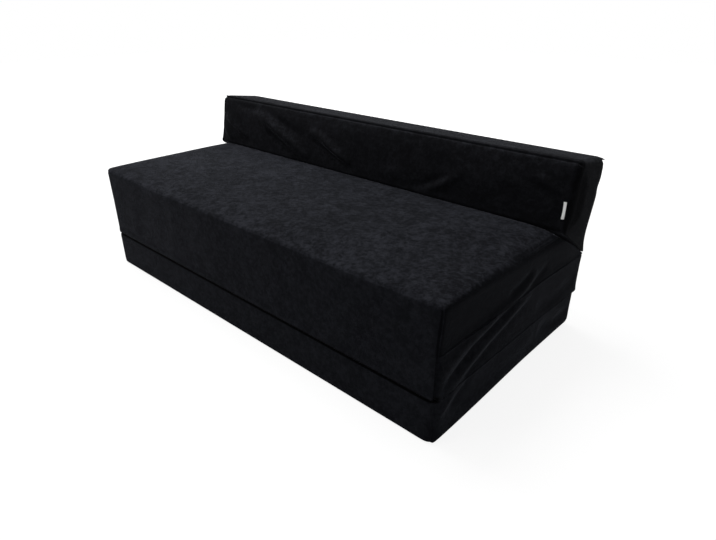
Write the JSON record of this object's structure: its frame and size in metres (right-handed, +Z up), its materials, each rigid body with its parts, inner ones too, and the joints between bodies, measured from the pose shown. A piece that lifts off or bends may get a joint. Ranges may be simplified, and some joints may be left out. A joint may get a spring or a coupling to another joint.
{
  "type": "folding chair bed",
  "caption": "Foam chair bed folded into a low seat with a backrest: hinged pads in zipped fabric covers that unfold rearwards into a flat bed.",
  "frame": {"origin": "on the floor, under the middle of the folded bed", "axes": "+X along the seat to the sitter's left, +Y from the seat's front edge to the backrest, +Z up"},
  "size_m": [1.2, 0.6, 0.439],
  "materials": {
    "cover_fabric": "black short-pile velour with a soft, mottled nap",
    "panel_fabric": "the same velour, pulled smooth over the closed sides and seams",
    "foam": "pale yellow upholstery foam with fine open cells",
    "zip_tape": "black woven zip tape",
    "zip_coil": "black nylon coil",
    "slider_metal": "black enamelled die-cast metal, worn bright on its edges",
    "label_cloth": "blank white satin label"
  },
  "bodies": {
    "base": {"base_foam": "foam", "base_cover": "cover_fabric", "base_zip_tape": "zip_tape", "base_zip_coil": "zip_coil"},
    "middle": {"middle_foam": "foam", "middle_cover": "cover_fabric", "middle_zip_tape": "zip_tape", "middle_zip_coil": "zip_coil", "front_hinge_panel": "panel_fabric", "rear_hinge_panel": "panel_fabric", "front_hinge_seam": "panel_fabric", "rear_hinge_seam": "panel_fabric"},
    "seat": {"seat_foam": "foam", "seat_cover": "cover_fabric", "seat_zip_tape": "zip_tape", "seat_zip_coil": "zip_coil"},
    "backrest": {"backrest_foam": "foam", "backrest_cover": "cover_fabric", "backrest_zip_tape": "zip_tape", "backrest_zip_coil": "zip_coil", "backrest_hinge_strip": "panel_fabric", "backrest_top_welts": "panel_fabric", "blank_label": "label_cloth"},
    "base_slider": {"base_zip_slider": "slider_metal"},
    "base_pull": {"base_zip_pull": "slider_metal"},
    "middle_slider": {"middle_zip_slider": "slider_metal"},
    "middle_pull": {"middle_zip_pull": "slider_metal"},
    "seat_slider": {"seat_zip_slider": "slider_metal"},
    "seat_pull": {"seat_zip_pull": "slider_metal"},
    "backrest_slider": {"backrest_zip_slider": "slider_metal"},
    "backrest_pull": {"backrest_zip_pull": "slider_metal"}
  },
  "joints": [
    {"name": "middle_fold", "type": "hinge", "parent": "base", "child": "middle", "pos_m": [0, 0.299, 0.1], "axis": [-1, 0, 0], "range_deg": [0, 180]},
    {"name": "seat_fold", "type": "hinge", "parent": "middle", "child": "seat", "pos_m": [0, -0.299, 0.2], "axis": [-1, 0, 0], "range_deg": [-180, 0]},
    {"name": "backrest_fold", "type": "hinge", "parent": "seat", "child": "backrest", "pos_m": [0, 0.299, 0.202], "axis": [-1, 0, 0], "range_deg": [0, 90]},
    {"name": "base_zip_slide", "type": "slide", "parent": "base", "child": "base_slider", "axis": [0, -1, 0], "range_m": [0, 0.418]},
    {"name": "base_pull_hinge", "type": "hinge", "parent": "base_slider", "child": "base_pull", "pos_m": [-0.5972, 0.209, 0.04985], "axis": [0, 0, -1], "range_deg": [0, 180]},
    {"name": "middle_zip_slide", "type": "slide", "parent": "middle", "child": "middle_slider", "axis": [0, -1, 0], "range_m": [0, 0.418]},
    {"name": "middle_pull_hinge", "type": "hinge", "parent": "middle_slider", "child": "middle_pull", "pos_m": [-0.5972, 0.209, 0.15], "axis": [0, 0, -1], "range_deg": [0, 180]},
    {"name": "seat_zip_slide", "type": "slide", "parent": "seat", "child": "seat_slider", "axis": [0, -1, 0], "range_m": [0, 0.3165]},
    {"name": "seat_pull_hinge", "type": "hinge", "parent": "seat_slider", "child": "seat_pull", "pos_m": [-0.5972, 0.1075, 0.25015], "axis": [0, 0, -1], "range_deg": [0, 180]},
    {"name": "backrest_zip_slide", "type": "slide", "parent": "backrest", "child": "backrest_slider", "axis": [-1, 0, 0], "range_m": [0, 0.972]},
    {"name": "backrest_pull_hinge", "type": "hinge", "parent": "backrest_slider", "child": "backrest_pull", "pos_m": [0.486, 0.2952, 0.27895], "axis": [0, 0, -1], "range_deg": [0, 180]}
  ],
  "couplings": [
    {"joint": "seat_fold", "follows": "middle_fold", "ratio": -1}
  ]
}
